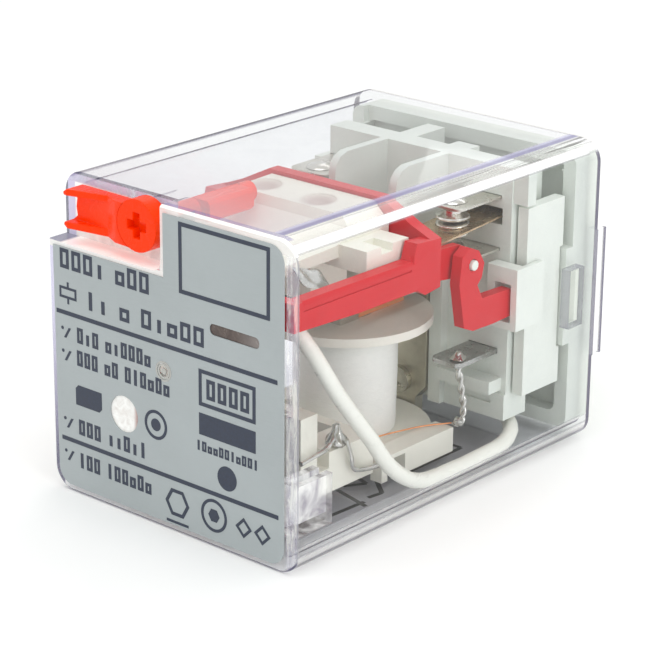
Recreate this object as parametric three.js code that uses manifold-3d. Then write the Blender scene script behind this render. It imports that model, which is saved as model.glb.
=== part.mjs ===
// Plug-in relay: two changeover poles on a clapper armature, in a clear clip-on case, lying on one side.
// Millimetres. +X runs across the label, +Y from the label to the plug pins, +Z up.
// The parts are drawn with Y = 0 at the front of the test lever, and the whole group is then moved so
// that the origin is under the middle of the relay.
import * as THREE from 'three';
import { mergeVertices } from 'three/addons/utils/BufferGeometryUtils.js';
import Module from 'manifold-3d';

const wasm = await Module();
wasm.setup();

// ---- driving dimensions ----
const cover = { size: 35.6, front: 0.2, rim: 50.4, wall: 1.25, corner: 2.6, edge: 0.35 };
const half = cover.size / 2;
const inside = half - cover.wall;
const labelThickness = 0.13;
const pocket = { right: -1, bottom: 28.4, back: 2.9, wall: 1.2, corner: 1.2 };
const tongue = { bottom: 10.2, top: 25.2, back: 52.1 };
const snapWindow = { bottom: 14.6, top: 21.5, front: 45.6, back: 48.2 };
const lever = { x: -4.7, z: 32.5, front: 0.45, boss: 2.85, shaft: 1.15, cam: 2.45, tip: 17.5 };
const flag = { left: -15.1, bottom: 30.2, top: 34.5, lip: 0.7, web: 1.3, depth: 2.5 };
const plug = { seat: 52.1, circle: 17.45, pin: 2.36, pinTip: 63.3, spigot: 7.9, spigotTip: 66, key: 1.9 };
const tray = { half: 16.3, front: 47.9, floor: 49.9, rim: 1.7 };
const coil = { y: 28, bottom: 2.8, top: 17.4, flange: 9.8, flangeThickness: 1, tube: 3.6, winding: 5.9 };
const core = { radius: 3, poleHalf: 3.2, poleTop: 18.4, front: 23.4, back: 34.3 };
const yoke = { front: 38, thickness: 1.4, half: 3.55, top: 18.3, underside: 1.5 };
const hinge = { y: 38.3, z: 19.2, travel: THREE.MathUtils.degToRad(4.5) };
const wallFront = 39.5;
const wallBack = 42.5;
const pole = { inner: 6.9, outer: 12.4, contactY: 34.5 };
const blade = { thickness: 0.3, upper: 30.2, lower: 24.2, front: 32.2, back: 45.5 };
const leaf = { thickness: 0.24, rootY: 44, rootZ: 28.4, tipY: 23.7, slope: 0.0667 };
const arm = { inner: 13.5, outer: 15.2 };
const leadRadius = 0.88;

const palette = {
  clear: [0xf4f8fa, 0.05, 0], foil: [0xb2babe, 0.35, 0.5], sheet: [0x8e9296, 0.5, 0.1],
  orange: [0xfa4614, 0.35, 0], red: [0xe15055, 0.4, 0], grey: [0xdfe3e1, 0.5, 0],
  white: [0xeef1ee, 0.45, 0], cream: [0xe9e6da, 0.5, 0], nickel: [0xc2c0b8, 0.3, 0.9],
  steel: [0xa9a69e, 0.35, 0.9], copper: [0xc07a4a, 0.35, 0.9], bronze: [0xc99a62, 0.3, 0.9],
  silver: [0xd9d9d6, 0.25, 0.9], tin: [0xcfd0cf, 0.3, 0.9], tape: [0xf2f2ee, 0.6, 0],
};

// ---- solids ----
function toSolid(geometry) {
  const plain = geometry.clone();
  plain.deleteAttribute('normal');
  plain.deleteAttribute('uv');
  const merged = mergeVertices(plain, 1e-4);
  const corners = [];
  for (let i = 0; i < merged.index.count; i += 3) {
    const [a, b, c] = [0, 1, 2].map((k) => merged.index.getX(i + k));
    if (a !== b && b !== c && a !== c) corners.push(a, b, c);
  }
  const vertProperties = new Float32Array(merged.attributes.position.array);
  const triVerts = new Uint32Array(corners);
  return new wasm.Manifold(new wasm.Mesh({ numProp: 3, vertProperties, triVerts }));
}

function toGeometry(solid) {
  const mesh = solid.getMesh();
  const geometry = new THREE.BufferGeometry();
  geometry.setAttribute('position', new THREE.BufferAttribute(new Float32Array(mesh.vertProperties), 3));
  geometry.setIndex(new THREE.BufferAttribute(new Uint32Array(mesh.triVerts), 1));
  geometry.computeVertexNormals();
  return geometry;
}

function join(first, ...others) {
  return toGeometry(others.reduce((solid, other) => solid.add(toSolid(other)), toSolid(first)));
}

function cut(first, ...tools) {
  return toGeometry(tools.reduce((solid, tool) => solid.subtract(toSolid(tool)), toSolid(first)));
}

function common(first, second) {
  return toGeometry(toSolid(first).intersect(toSolid(second)));
}

// A box from its limits along each axis.
function box([x0, x1], [y0, y1], [z0, z1]) {
  const geometry = new THREE.BoxGeometry(x1 - x0, y1 - y0, z1 - z0);
  return geometry.translate((x0 + x1) / 2, (y0 + y1) / 2, (z0 + z1) / 2);
}

// Turns a geometry built along +Z so that it runs along the named axis.
// The first two coordinates become (y, z) for x, (x, z) for y, and stay (x, y) for z.
function along(axis, geometry, from, to) {
  const turns = {
    x: new THREE.Matrix4().set(0, 0, 1, from, 1, 0, 0, 0, 0, 1, 0, 0, 0, 0, 0, 1),
    y: new THREE.Matrix4().set(1, 0, 0, 0, 0, 0, -1, to, 0, 1, 0, 0, 0, 0, 0, 1),
    z: new THREE.Matrix4().makeTranslation(0, 0, from),
  };
  return geometry.applyMatrix4(turns[axis]);
}

// A prism: an outline of points, or a Shape, drawn across the axis and extruded from one place to another.
function prism(axis, outline, from, to, curveSegments = 4) {
  const shape = outline instanceof THREE.Shape ? outline : outlineShape(outline);
  const settings = { depth: to - from, bevelEnabled: false, curveSegments };
  return along(axis, new THREE.ExtrudeGeometry(shape, settings), from, to);
}

function outlineShape(points) {
  return new THREE.Shape(points.map(([u, v]) => new THREE.Vector2(u, v)));
}

function roundedRect([u0, u1], [v0, v1], radius) {
  const shape = new THREE.Shape();
  shape.moveTo(u0 + radius, v0);
  shape.lineTo(u1 - radius, v0);
  shape.absarc(u1 - radius, v0 + radius, radius, -Math.PI / 2, 0);
  shape.lineTo(u1, v1 - radius);
  shape.absarc(u1 - radius, v1 - radius, radius, 0, Math.PI / 2);
  shape.lineTo(u0 + radius, v1);
  shape.absarc(u0 + radius, v1 - radius, radius, Math.PI / 2, Math.PI);
  shape.lineTo(u0, v0 + radius);
  shape.absarc(u0 + radius, v0 + radius, radius, Math.PI, 1.5 * Math.PI);
  return shape;
}

// A round bar with its ends at from and to on the axis.
function rod(axis, [u, v], radius, from, to, sides = 16) {
  const circle = [];
  for (let i = 0; i < sides; i += 1) {
    const angle = ((i + 0.5) / sides) * 2 * Math.PI;
    circle.push([u + radius * Math.cos(angle), v + radius * Math.sin(angle)]);
  }
  return prism(axis, circle, from, to);
}

// A body of revolution about a vertical line: the profile holds [radius, height] from bottom to top.
function turned(profile, [x, y], sides = 16) {
  const points = profile.map(([radius, height]) => new THREE.Vector2(radius, height));
  const geometry = new THREE.LatheGeometry(points, sides);
  return geometry.rotateX(Math.PI / 2).translate(x, y, 0);
}

// A round wire along a smooth curve through the points.
function wire(points, radius, steps, sides = 8) {
  const path = new THREE.CatmullRomCurve3(points.map((point) => new THREE.Vector3(...point)));
  const circle = [];
  for (let i = 0; i < sides; i += 1) {
    const angle = (i / sides) * 2 * Math.PI;
    circle.push([radius * Math.cos(angle), radius * Math.sin(angle)]);
  }
  return new THREE.ExtrudeGeometry(outlineShape(circle), { steps, extrudePath: path, bevelEnabled: false });
}

// The same piece on the left side: X changes sign and the faces are turned back outwards.
function mirrored(geometry) {
  const flipped = geometry.index ? geometry.toNonIndexed() : geometry.clone();
  flipped.scale(-1, 1, 1);
  const corners = flipped.attributes.position;
  for (let i = 0; i < corners.count; i += 3) {
    const b = [corners.getX(i + 1), corners.getY(i + 1), corners.getZ(i + 1)];
    corners.setXYZ(i + 1, corners.getX(i + 2), corners.getY(i + 2), corners.getZ(i + 2));
    corners.setXYZ(i + 2, ...b);
  }
  return toGeometry(toSolid(flipped));
}

const relay = new THREE.Group();

function add(name, geometry, finish) {
  const [color, roughness, metalness] = palette[finish];
  const mesh = new THREE.Mesh(geometry, new THREE.MeshStandardMaterial({ color, roughness, metalness }));
  mesh.name = name;
  relay.add(mesh);
}

function addPair(name, geometry, finish) {
  add(`${name}_right`, geometry, finish);
  add(`${name}_left`, mirrored(geometry), finish);
}

// ---- case ----
function coverOuter() {
  const square = roundedRect([-half + cover.edge, half - cover.edge], [cover.edge, cover.size - cover.edge],
    cover.corner - cover.edge);
  const settings = {
    depth: cover.rim - cover.front, curveSegments: 10,
    bevelThickness: cover.edge, bevelSize: cover.edge, bevelSegments: 4,
  };
  const block = new THREE.ExtrudeGeometry(square, settings);
  const turn = new THREE.Matrix4().set(1, 0, 0, 0, 0, 0, -1, cover.rim + cover.edge, 0, 1, 0, 0, 0, 0, 0, 1);
  block.applyMatrix4(turn);
  return cut(block, box([-half - 1, half + 1], [cover.rim, cover.rim + 3], [-1, cover.size + 1]));
}

function pocketTool() {
  const outline = roundedRect([-half - 5, pocket.right], [pocket.bottom, cover.size + 5], pocket.corner);
  return prism('y', outline, -1, pocket.back, 8);
}

function sideTongue() {
  const panel = box([inside, half], [cover.rim - 1, tongue.back], [tongue.bottom, tongue.top]);
  return panel;
}

function coverShell() {
  const radius = cover.corner - cover.wall;
  const hollow = prism('y', roundedRect([-inside, inside], [cover.wall, cover.size - cover.wall], radius),
    cover.front + cover.wall, cover.rim + 1, 8);
  const pocketBack = pocket.back + pocket.wall;
  const pocketBlock = box([-half, pocket.right + pocket.wall], [cover.front, pocketBack],
    [pocket.bottom - pocket.wall, cover.size]);
  const bearing = rod('y', [lever.x, lever.z], 2.5, pocketBack - 0.5, 8.2, 24);
  const bearingTop = box([-half, half], [0, 10], [cover.size - cover.wall, cover.size + 2]);
  const cornerGuide = box([13.8, inside + 0.2], [cover.front + 1, 7], [3.6, 9.2]);
  const guideSlot = box([14.7, 15.7], [2.4, 8], [4.6, 12]);
  const windows = [1, -1].map((side) => box(side > 0 ? [inside - 1, half + 1] : [-half - 1, 1 - inside],
    [snapWindow.front, snapWindow.back], [snapWindow.bottom, snapWindow.top]));
  const diagramRecess = box([-9, 12], [6, 44], [-1, 0.15]);
  let shell = join(cut(coverOuter(), hollow), common(coverOuter(), pocketBlock), cut(bearing, bearingTop));
  shell = join(shell, cut(cornerGuide, guideSlot), sideTongue(), mirrored(sideTongue()));
  const shaftHole = rod('y', [lever.x, lever.z], lever.shaft + 0.2, 0, 12);
  return cut(shell, pocketTool(), shaftHole, ...windows, diagramRecess);
}

function labelFoil() {
  const sheet = roundedRect([-16.95, 16.1], [0.75, 34.9], 1.9);
  const notch = box([-half - 1, pocket.right + 0.5], [-1, 1], [pocket.bottom - 0.4, cover.size + 1]);
  const back = cover.front - 0.02;
  const foil = prism('y', sheet, back - labelThickness, back, 8);
  const indicatorSlot = prism('y', roundedRect([6, 12.8], [23.5, 24.7], 0.55), -1, 1);
  const sightHole = rod('y', [-0.65, 17.75], 0.9, -1, 1);
  const coilHole = rod('y', [-6.65, 11.35], 2.05, -1, 1, 24);
  return cut(foil, notch, indicatorSlot, sightHole, coilHole);
}

function diagramLabel() {
  return prism('z', roundedRect([-8.8, 11.8], [6.2, 43.8], 0.8), 0.02, 0.14);
}

// ---- test lever ----
// A flag runs left from a round boss. Two lips stand out from the flag's face and die away towards the
// boss. The shaft behind the boss carries the cam.
function testLever() {
  const centre = [lever.x, lever.z];
  const backY = flag.depth;
  const middle = (flag.bottom + flag.top) / 2;
  const boss = rod('y', centre, lever.boss, lever.front, backY, 32);
  const outline = [[lever.x, flag.bottom - 0.4], [flag.left + 0.5, flag.bottom],
    [flag.left, flag.bottom + 0.35], [flag.left + 0.1, flag.bottom + flag.lip],
    [flag.left + 0.75, flag.bottom + 1.2], [flag.left + 0.6, middle], [flag.left + 0.75, flag.top - 1.2],
    [flag.left + 0.1, flag.top - flag.lip], [flag.left, flag.top - 0.35], [flag.left + 0.5, flag.top],
    [lever.x, flag.top]];
  const plan = outlineShape([[flag.left - 1, 0], [flag.left + 0.6, 0], [flag.left + 5.4, flag.web],
    [-8, lever.front + 0.1], [lever.x, lever.front + 0.1], [lever.x, backY], [flag.left - 1, backY]]);
  const webPlan = outlineShape([[flag.left - 2, -1], [-8, -1], [-8, lever.front + 0.1],
    [flag.left + 5.4, flag.web], [flag.left - 2, flag.web]]);
  const face = prism('z', webPlan, flag.bottom + flag.lip, flag.top - flag.lip);
  const blank = cut(common(prism('y', outline, -1, backY), prism('z', plan, 20, 40)), face);
  const crossSlots = [box([lever.x - 1.4, lever.x + 1.4], [-1, 1.5], [lever.z - 0.5, lever.z + 0.5]),
    box([lever.x - 0.5, lever.x + 0.5], [-1, 1.5], [lever.z - 1.4, lever.z + 1.4])];
  const shaft = rod('y', centre, lever.shaft, backY - 0.2, lever.tip, 20);
  const cam = prism('y', [[lever.x, lever.z - 1.2], [lever.x + lever.cam - 0.4, lever.z - 1.2],
    [lever.x + lever.cam, lever.z - 0.8], [lever.x + lever.cam, lever.z + 0.8],
    [lever.x + lever.cam - 0.4, lever.z + 1.2], [lever.x, lever.z + 1.2]], 8.8, 15.6);
  return cut(join(boss, blank, shaft, cam), ...crossSlots);
}

// ---- base ----
function pinPlaces() {
  return Array.from({ length: 8 }, (_, i) => {
    const angle = ((i + 0.5) / 8) * 2 * Math.PI;
    return [(plug.circle / 2) * Math.cos(angle), half + (plug.circle / 2) * Math.sin(angle)];
  });
}

function basePlate() {
  const low = half - tray.half;
  const high = half + tray.half;
  const plate = prism('y', roundedRect([-tray.half, tray.half], [low, high], 1.3), tray.front, plug.seat);
  const hollow = prism('y', roundedRect([tray.rim - tray.half, tray.half - tray.rim], [low + tray.rim,
    high - tray.rim], 1), tray.front - 1, tray.floor);
  const spigot = rod('y', [0, half], plug.spigot / 2, tray.floor, plug.spigotTip, 24);
  const keyway = box([-plug.key / 2, plug.key / 2], [tray.floor, plug.spigotTip - 1],
    [half - plug.spigot / 2 - 1, half]);
  const latchBlock = box([14.9, tray.half], [46.7, plug.seat - 1], [12, 23.5]);
  const latchLug = prism('z', [[16, 46.8], [17.2, 47.4], [17.2, 48], [16, 48]], 15, 21.1);
  const latch = join(latchBlock, latchLug);
  const pinHoles = pinPlaces().map((place) => rod('y', place, plug.pin / 2 + 0.08, 40, 60));
  const rimNotch = box([-14.6, 14.6], [tray.front - 1, tray.front + 0.9], [high - 2, high + 1]);
  const body = join(cut(plate, hollow, rimNotch), spigot, keyway, latch, mirrored(latch));
  return cut(body, ...pinHoles);
}

function plugPin(place) {
  const tail = rod('y', place, 0.75, 47.9, 48.9, 10);
  const body = rod('y', place, plug.pin / 2, 48.8, plug.pinTip - 0.7, 16);
  const tip = rod('y', place, plug.pin / 2 - 0.35, plug.pinTip - 0.8, plug.pinTip, 16);
  return join(body, tail, tip);
}

// The moulding that holds the contacts: a cross wall, two partitions in front of it, the clamps behind
// it that grip the blades and leaf springs, and the lower ledge and foot.
function contactBlock() {
  const top = 33.9;
  const wall = box([-12.5, 13.9], [wallFront, wallBack], [4.4, top]);
  const partition = (x) => {
    const front = 30.5;
    const outline = outlineShape([[front, 23.6], [wallFront + 0.2, 23.6], [wallFront + 0.2, top],
      [front + 2, top], [front + 0.9, top - 0.4], [front + 0.2, top - 1.2], [front, top - 2.2]]);
    return prism('x', outline, x, x + 1);
  };
  const clamp = box([pole.inner - 0.9, pole.outer + 0.4], [wallBack - 0.2, 46.4],
    [blade.lower - 2, blade.upper + 2]);
  const column = box([yoke.half + 0.15, 5.4], [38.3, wallFront + 0.2], [4.5, 22.8]);
  const ledge = box([5.6, 13.2], [37.3, wallFront + 0.2], [7.9, 9.4]);
  const lowerBlock = box([5.2, 13.9], [39.2, wallBack + 0.8], [4.4, 7.5]);
  const lowerSlot = box([8.2, 12], [38, 39.8], [6.1, 6.7]);
  const sidePost = box([13.7, 15.9], [39.7, 41.2], [29.9, top]);
  const web = box([-4.6, -2.1], [wallBack - 0.2, tray.front - 0.3], [4, top]);
  const lug = box([2.6, 5.6], [wallBack - 0.2, 44.2], [30, top]);
  const springSlot = box([pole.inner - 0.25, pole.outer + 0.25], [wallFront - 2, 46.9], [27.2, 29.1]);
  const bladeSlots = [blade.upper, blade.lower].map((z) => box([pole.inner - 0.05, pole.outer + 0.05],
    [wallFront - 2, blade.back + 0.05], [z - 0.05, z + blade.thickness + 0.05]));
  const terminalSlot = box([8.45, 12.55], [wallFront - 2, 44.05], [12.05, 12.75]);
  const rightParts = [clamp, column, ledge, cut(lowerBlock, lowerSlot)];
  const rightCuts = [springSlot, ...bladeSlots, terminalSlot];
  const body = join(wall, partition(3.9), partition(-4.85), sidePost, web, lug, ...rightParts,
    ...rightParts.map(mirrored));
  const rivetHole = rod('y', [0, 6.4], 0.75, wallFront - 1, wallBack + 1, 12);
  return cut(body, ...rightCuts, ...rightCuts.map(mirrored), rivetHole);
}

function sideSlab() {
  const outline = [[40.3, 7.5], [47, 7.5], [47, 11.8], [46.5, 11.8], [46.5, 23.7], [47, 23.7], [47, 29.5],
    [40.3, 29.5]];
  return prism('x', outline, 14.2, 15.6);
}

function hingeBlock() {
  const body = box([12.2, 16.3], [37.7, wallFront - 0.1], [16, 23.2]);
  const flange = prism('x', roundedRect([wallFront - 1, 42.7], [16, 23.2], 0.5), 15.7, 16.3, 2);
  const slot = box([13.2, 15.45], [37, 38.9], [16.9, 21.3]);
  return cut(join(body, flange), slot);
}

// ---- magnet ----
function yokeAngle() {
  const back = yoke.front + yoke.thickness;
  const upright = prism('y', [[-2.1, yoke.underside], [2.1, yoke.underside], [2.1, 4.5], [yoke.half, 6.1],
    [yoke.half, yoke.top], [-yoke.half, yoke.top], [-yoke.half, 6.1], [-2.1, 4.5]], yoke.front, back);
  const foot = box([-5, 5], [23.5, yoke.front - 1.6], [yoke.underside, yoke.underside + 1.2]);
  const heel = box([-2.1, 2.1], [yoke.front - 2, back], [yoke.underside, yoke.underside + 1.2]);
  const rivetHole = rod('y', [0, 6.4], 0.75, yoke.front - 1, back + 1, 12);
  const coreHole = rod('z', [0, coil.y], 1.95, 0, 4);
  return cut(join(upright, foot, heel), rivetHole, coreHole);
}

function yokeRivet() {
  const head = rod('y', [0, 6.4], 1.6, yoke.front - 0.8, yoke.front - 0.02, 16);
  const shank = rod('y', [0, 6.4], 0.65, yoke.front - 0.1, wallBack + 0.4, 10);
  const dimple = rod('y', [0, 6.4], 0.8, yoke.front - 2, yoke.front - 0.4, 12);
  return join(cut(head, dimple), shank);
}

// The core passes through the bobbin; its pole face is split by the slots that hold the shading ring.
function coilCore() {
  const stemTop = coil.top + 0.1;
  const stem = rod('z', [0, coil.y], core.radius, coil.bottom + 0.05, stemTop, 20);
  const rivet = rod('z', [0, coil.y], 1.8, yoke.underside + 0.05, coil.bottom + 1, 16);
  const frontPole = box([-core.poleHalf, core.poleHalf], [core.front, 26.5], [stemTop - 0.08, core.poleTop]);
  const backPole = box([-2.1, 2.1], [27.75, 33.15], [stemTop - 0.08, core.poleTop]);
  return join(stem, rivet, frontPole, backPole);
}

function shadingRing() {
  const outer = box([-core.poleHalf, core.poleHalf], [26.6, core.back],
    [coil.top + 0.15, core.poleTop - 0.1]);
  const inner = box([-2.2, 2.2], [27.65, 33.25], [coil.top - 1, core.poleTop + 1]);
  return cut(outer, inner);
}

function bobbin() {
  const centre = [0, coil.y];
  const lowerTop = coil.bottom + coil.flangeThickness;
  const upper = rod('z', centre, coil.flange, coil.top - coil.flangeThickness, coil.top, 40);
  const tube = rod('z', centre, coil.tube, coil.bottom, coil.top, 20);
  const lower = rod('z', centre, coil.flange, coil.bottom, lowerTop, 40);
  const rail = cut(box([8.4, 11], [21.5, 33.9], [1.6, 4.5]), box([8, 12], [22.5, 25.5], [1, 4]),
    box([7, 9.4], [18, 40], [1, coil.bottom]));
  const frontBlock = box([-11, 11], [12.8, 20], [3.4, 8]);
  const frontRelief = box([-6.5, 6.5], [12, 18.5], [3, 9]);
  const post = box([8.6, 11], [8.3, 10.9], [3.4, 13]);
  const postFoot = box([8.6, 11], [8.3, 13.2], [3.4, 6.2]);
  const yokeRelief = box([-5.4, 5.4], [22, 40], [0, coil.bottom]);
  const windingRelief = cut(rod('z', centre, coil.winding + 0.3, lowerTop, 9, 24),
    rod('z', centre, coil.tube, 0, 20, 20));
  const body = join(upper, tube, lower, rail, mirrored(rail), cut(frontBlock, frontRelief), post, postFoot,
    mirrored(post), mirrored(postFoot));
  const bore = rod('z', centre, core.radius + 0.1, 0, 20, 20);
  const solderHoles = [10.1, -10.1].map((x) => rod('z', [x, 15], 0.75, 5, 9, 10));
  return cut(body, windingRelief, bore, yokeRelief, ...solderHoles);
}

function coilWinding() {
  const low = coil.bottom + coil.flangeThickness + 0.05;
  const high = coil.top - coil.flangeThickness - 0.05;
  const body = turned([[0, low], [coil.winding - 0.15, low], [coil.winding, (low + high) / 2],
    [coil.winding, high], [0, high]], [0, coil.y], 28);
  return cut(body, rod('z', [0, coil.y], coil.tube + 0.08, 0, 20, 20));
}

// Solder joint on the bobbin block: a tinned bead on its own short peg.
function solderJoint() {
  const profile = [[0, 5.2], [0.6, 5.2], [0.6, 8.05], [1.3, 8.1], [1.2, 8.9], [0.7, 9.7], [0, 10.1]];
  return turned(profile, [10.1, 15], 12);
}

// The tinned ends of the coil: one runs forward from the bead past the post, one down to the rail.
function coilStart() {
  return wire([[11.65, 7.6, 8.5], [11.65, 9.6, 8.7], [11.6, 11.6, 8.9], [11.2, 13.2, 9.2]], 0.3, 8, 6);
}

function coilTail() {
  const path = [[11.8, 15.2, 8.8], [11.75, 15.4, 7.2], [11.6, 16, 5.4], [11.5, 18, 4.6], [11.5, 20.6, 4.3]];
  return wire(path, 0.3, 12, 6);
}

function coilTerminal() {
  const plate = roundedRect([8.5, 12.5], [32.5, 44], 0.8);
  return cut(prism('z', plate, 12.1, 12.7, 2), rod('z', [11.5, 33.8], 0.65, 11, 14, 10));
}

// A tinned lead, hooked through the terminal and twisted down to the bobbin rail.
function terminalTail() {
  return wire([[11.5, 33.8, 13.9], [11.5, 33.8, 12], [11.7, 34.2, 9.5], [11.75, 34.6, 7], [11.6, 34.5, 5],
    [10.6, 34.4, 4.3]], 0.5, 14, 8);
}

// ---- armature: everything here turns together on the top edge of the yoke ----
// It is drawn with its front raised by the full travel, as it stands with the coil off.
function armaturePlate() {
  const rise = Math.tan(hinge.travel);
  const under = (y) => core.poleTop + 0.1 + (hinge.y - y) * rise;
  const front = 16.5;
  const back = hinge.y - 0.4;
  const outline = [[front, under(front)], [back, under(back)], [back, under(back) + 1.3],
    [36, under(36) + 1.5], [front, under(front) + 1.5]];
  return prism('x', outline, -5, 5);
}

// The cream moulding: a post on the steel plate, and an arched slab with a notched lug on each side.
function armatureCarrier() {
  const post = prism('x', [[17, 22.1], [22.9, 21.6], [22.9, 29], [17, 29]], -4.5, 4.5);
  const side = [[6, 29.2], [8, 29.6], [15.5, 29.85], [17.9, 31.1], [18.4, 32.2], [23.9, 32.5], [23.9, 28.4],
    [22.9, 28], [22.9, 27.4], [15.85, 27.4], [15.85, 28.5], [6, 28.5]];
  const plan = outlineShape([[-9, 6.2], [8.4, 6.2], [9.4, 7.4], [9.4, 24], [-9.4, 24], [-9.4, 7.4]]);
  const slab = common(prism('x', side, -9.4, 9.4), prism('z', plan, 20, 40));
  const shoulder = prism('y', [[7.2, 40], [7.2, 32.6], [9.6, 30.4], [14, 30.4], [14, 40]], 0, 40);
  const lug = cut(box([9, 13.2], [15.85, 22.6], [27.4, 29.95]), box([10.6, 14], [18.2, 20], [29.1, 31]));
  const dimples = [[-5.5, 20.7], [2.5, 20.5]].map(([x, y]) => turned([[0, 31.95], [1, 32.02], [1.9, 32.3],
    [2.2, 33], [0, 33]], [x, y], 20));
  return join(cut(slab, shoulder, mirrored(shoulder), ...dimples), post, lug, mirrored(lug));
}

// Side arms joined at the front by the indicator beam and at the back by the bridge that works the springs.
function actuatorFrame() {
  const sideOutline = [[3.2, 25.1], [12.6, 24.7], [21.8, 24.7], [23.1, 23.9], [25.6, 24.2], [25.6, 29.6],
    [21.6, 29.9], [21, 28], [3.2, 28.1]];
  const sideArm = prism('x', sideOutline, arm.inner, arm.outer);
  const ridge = prism('y', [[arm.outer - 0.7, 28.6], [arm.outer + 0.1, 27.5], [arm.outer + 1, 27.5],
    [arm.outer + 1, 30]], 0, 21.2);
  const groove = box([arm.outer - 0.12, arm.outer + 1], [2, 20.8], [27.05, 27.25]);
  const webOutline = [[24, 24.4], [31, 23.5], [32.6, 24], [32.6, 26], [31, 27.2], [24, 27.6]];
  const web = prism('x', webOutline, 12.5, arm.inner + 0.25);
  const webTrim = box([arm.inner, 16], [25.6, 34], [20, 30]);
  const pinHole = rod('x', [31.2, 25.2], 0.68, 11, 17, 10);
  const right = cut(join(cut(sideArm, ridge, groove), cut(web, webTrim)), pinHole);
  const beam = box([-arm.outer, arm.outer], [2.5, 3.9], [25.1, 28.1]);
  const pocketRelief = box([-16, pocket.right + 1.6], [2, 5.1], [26.9, 30]);
  const bridge = prism('y', [[-arm.outer, 29.6], [-12.2, 30.8], [-8, 32.9], [8, 32.9], [12.2, 30.8],
    [arm.outer, 29.6], [arm.outer, 26.3], [-arm.outer, 26.3]], 24.1, 25.6);
  const tipSlot = box([pole.inner - 0.2, pole.outer + 0.25], [22, 27], [26.75, 27.6]);
  const plateGap = box([-5.6, 5.6], [22, 27], [26, 28]);
  const body = join(right, mirrored(right), beam, bridge);
  return cut(body, tipSlot, mirrored(tipSlot), plateGap, pocketRelief);
}

// S-shaped arm: a boss around the pin, a leg down, and a hook that turns in the slot of the hinge block.
function hingeArm() {
  const outline = [[29.3, 26.5], [30.6, 27.3], [32.2, 26.6], [33.2, 25], [32.8, 23.4], [32.1, 22.7], [33, 21],
    [38.2, 20.8], [38.2, 17.6], [35, 17.5], [31.5, 17.6], [29.9, 18.3], [28.9, 23.4]];
  return cut(prism('x', outline, arm.inner + 0.35, arm.outer), rod('x', [31.2, 25.2], 0.68, 11, 17, 10));
}

function hingePin() {
  return rod('x', [31.2, 25.2], 0.58, 12.3, arm.outer + 0.3, 10);
}

function carrierTab() {
  return prism('x', [[7.5, 28.8], [9.6, 27.6], [11.6, 27], [12, 27.6], [10.4, 28.6], [8, 29.6]], 9.42, 12.3);
}

// ---- contacts ----
function contactBlade(z) {
  const plan = roundedRect([pole.inner, pole.outer], [blade.front, blade.back], 0.8);
  const hole = rod('z', [(pole.inner + pole.outer) / 2, pole.contactY], 0.95, z - 1, z + 1, 12);
  return cut(prism('z', plan, z, z + blade.thickness, 2), hole);
}

// A contact button riveted through its blade: facing is -1 under the upper blade, 1 on the lower one.
function fixedContact(z, facing, reach) {
  const centre = [(pole.inner + pole.outer) / 2, pole.contactY];
  const middle = z + blade.thickness / 2;
  const skin = blade.thickness / 2 + 0.03;
  const profile = [[0, -skin - 0.4], [1.2, -skin - 0.4], [1.6, -skin], [0.85, -skin], [0.85, skin], [2, skin],
    [2, reach - 0.35], [1.5, reach], [0, reach]];
  const geometry = turned(profile, [0, 0], 16);
  if (facing < 0) geometry.rotateX(Math.PI);
  return geometry.translate(centre[0], centre[1], middle);
}

// The leaf spring and its rivet are drawn level about the spring's root, then tilted together.
const leafTilt = Math.atan(leaf.slope);

function tilted(geometry) {
  return geometry.rotateX(leafTilt).translate(0, leaf.rootY, leaf.rootZ);
}

const centreX = (pole.inner + pole.outer) / 2;
const contactReach = (pole.contactY - leaf.rootY) / Math.cos(leafTilt);

function leafSpring() {
  const tip = leaf.tipY - leaf.rootY;
  const plan = [[pole.inner, tip + 0.8], [pole.inner + 0.8, tip], [pole.outer - 0.8, tip],
    [pole.outer, tip + 0.8], [pole.outer, 2], [pole.inner, 2]];
  const strip = prism('z', plan, -leaf.thickness / 2, leaf.thickness / 2);
  return tilted(cut(strip, rod('z', [centreX, contactReach], 0.95, -1, 1, 12)));
}

function movingContact() {
  const skin = leaf.thickness / 2 + 0.03;
  const profile = [[0, -skin - 1], [1.5, -skin - 1], [1.9, -skin - 0.7], [1.9, -skin], [0.85, -skin],
    [0.85, skin], [1.9, skin], [1.9, skin + 0.2], [1.5, skin + 0.36], [0, skin + 0.36]];
  return tilted(turned(profile, [centreX, contactReach], 16));
}

// ---- white lead: from under the carrier tab, down the right side, along the floor and to a pin tail ----
function whiteLead() {
  return wire([[11.4, 7.2, 23.2], [12.9, 7.8, 21.2], [14.1, 10.4, 16.2], [14.9, 14.5, 10.5],
    [15.25, 18.1, 5.7], [15.3, 22.4, 2.9], [15.3, 27.6, 2.4], [15.3, 33.9, 2.4], [15.1, 37.6, 2.5],
    [14.4, 40, 2.9], [13, 41.7, 3.2], [10.8, 43.7, 3.1], [8.2, 45.2, 4], [5.2, 46.3, 6.8],
    [3.7, 46.9, 9.1]], leadRadius, 40, 10);
}

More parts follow.
